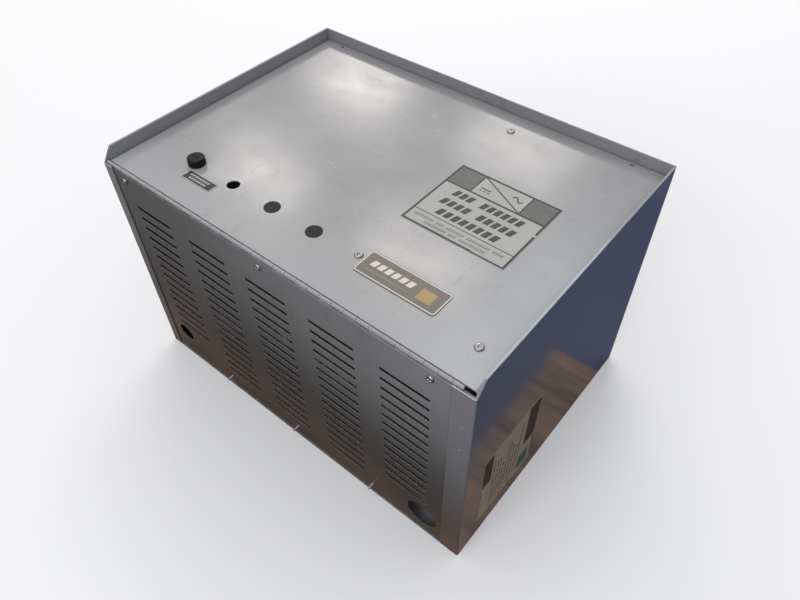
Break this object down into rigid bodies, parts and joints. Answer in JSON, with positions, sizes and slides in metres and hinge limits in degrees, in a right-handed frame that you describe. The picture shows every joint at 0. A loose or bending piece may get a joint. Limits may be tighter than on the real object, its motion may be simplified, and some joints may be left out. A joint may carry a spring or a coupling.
{
  "type": "enclosed sine wave inverter",
  "caption": "Sheet-steel wall box inverter on its back: vented lower panel, hinged front cover with fuse holder, conduit holes, and the power parts inside.",
  "frame": {"origin": "middle of the base (the underside of the mounting pan)", "axes": "+X to the right along the vented panel, +Y from the vented panel to the back wall (up when hung on a wall), +Z out of the cover"},
  "size_m": [0.4272, 0.313, 0.275],
  "materials": {
    "case_paint": "gloss enamel, worn",
    "panel_paint": "gloss enamel, worn",
    "cover_paint": "gloss enamel",
    "hinge_paint": "gloss enamel",
    "bright_steel": "zinc plated",
    "zinc": "bright zinc",
    "side_label_print": "printed film",
    "cover_label_print": "printed film",
    "badge_print": "printed plate",
    "fuse_label_print": "printed film",
    "lamination": "varnished laminations",
    "bobbin_board": "insulating board",
    "winding_tape": "taped copper winding",
    "copper_wire": "enamelled wire",
    "capacitor_sleeve": "shrink sleeve",
    "capacitor_can": "drawn can",
    "copper_bar": "bare copper",
    "aluminium": "extruded",
    "mica": "insulating sheet",
    "nickel_can": "nickel plated",
    "phenolic": "moulded",
    "brass_post": "turned",
    "fuse_element": "ceramic and tinned strip",
    "tinned_copper": "tinned",
    "cable_cover": "cable insulation",
    "lead_cover": "wire insulation",
    "plug_plastic": "moulded nylon",
    "board_green": "solder mask",
    "chip_black": "moulded",
    "connector_nylon": "moulded nylon",
    "fuse_glass": "clear"
  },
  "bodies": {
    "case": {"case_body": "case_paint", "vent_panel": "panel_paint", "hinge_rail": "case_paint", "hinge_leaf_fixed": "hinge_paint", "hinge_pin": "bright_steel", "vent_panel_screws": "zinc", "vent_panel_end_screws": "zinc", "vent_panel_nuts": "zinc", "pan_studs": "zinc", "pan_nuts": "zinc", "side_label": "side_label_print", "transformer_core": "lamination", "transformer_bobbin": "bobbin_board", "transformer_winding": "winding_tape", "transformer_feet": "bright_steel", "transformer_bolts": "zinc", "choke_winding": "copper_wire", "choke_clamp": "bobbin_board", "dc_capacitors": "capacitor_sleeve", "dc_capacitor_clamps": "bright_steel", "dc_bus_bars": "copper_bar", "dc_bus_screws": "zinc", "ac_capacitors": "capacitor_can", "ac_capacitor_bracket": "bright_steel", "heat_sink": "aluminium", "heat_sink_brackets": "aluminium", "device_insulators": "mica", "power_devices": "nickel_can", "dc_terminal_block": "phenolic", "dc_terminal_posts": "brass_post", "dc_terminal_nuts": "brass_post", "dc_fuse_link": "fuse_element", "ac_terminal_strip": "phenolic", "ac_terminal_screws": "zinc", "cable_lugs": "tinned_copper", "dc_cables": "cable_cover", "transformer_leads": "lead_cover", "ac_wires": "lead_cover"},
    "cover": {"cover_panel": "cover_paint", "hinge_leaf_cover": "hinge_paint", "hole_plugs": "plug_plastic", "cover_label": "cover_label_print", "name_badge": "badge_print", "fuse_label": "fuse_label_print", "fuse_holder_body": "phenolic", "fuse_holder_nut": "zinc", "fuse_holder_terminals": "tinned_copper", "board_screws": "zinc", "board_standoffs": "brass_post", "control_board": "board_green", "board_chips": "chip_black", "board_capacitors": "capacitor_sleeve", "board_transformer": "lamination", "board_connector": "connector_nylon", "fuse_leads": "lead_cover"},
    "fuse_carrier": {"fuse_glass": "fuse_glass", "fuse_end_caps": "nickel_can", "fuse_grip": "tinned_copper"},
    "fuse_cap": {"fuse_cap": "phenolic"}
  },
  "joints": [
    {"name": "cover_hinge", "type": "hinge", "parent": "case", "child": "cover", "pos_m": [0, -0.1465, 0.261], "axis": [1, 0, 0], "range_deg": [0, 115]},
    {"name": "fuse_lift", "type": "slide", "parent": "cover", "child": "fuse_carrier", "axis": [0, 0, 1], "range_m": [0, 0.045]},
    {"name": "fuse_cap_turn", "type": "hinge", "parent": "fuse_carrier", "child": "fuse_cap", "pos_m": [-0.14062, -0.0975, 0.265], "axis": [0, 0, 1], "range_deg": [0, 90]}
  ]
}
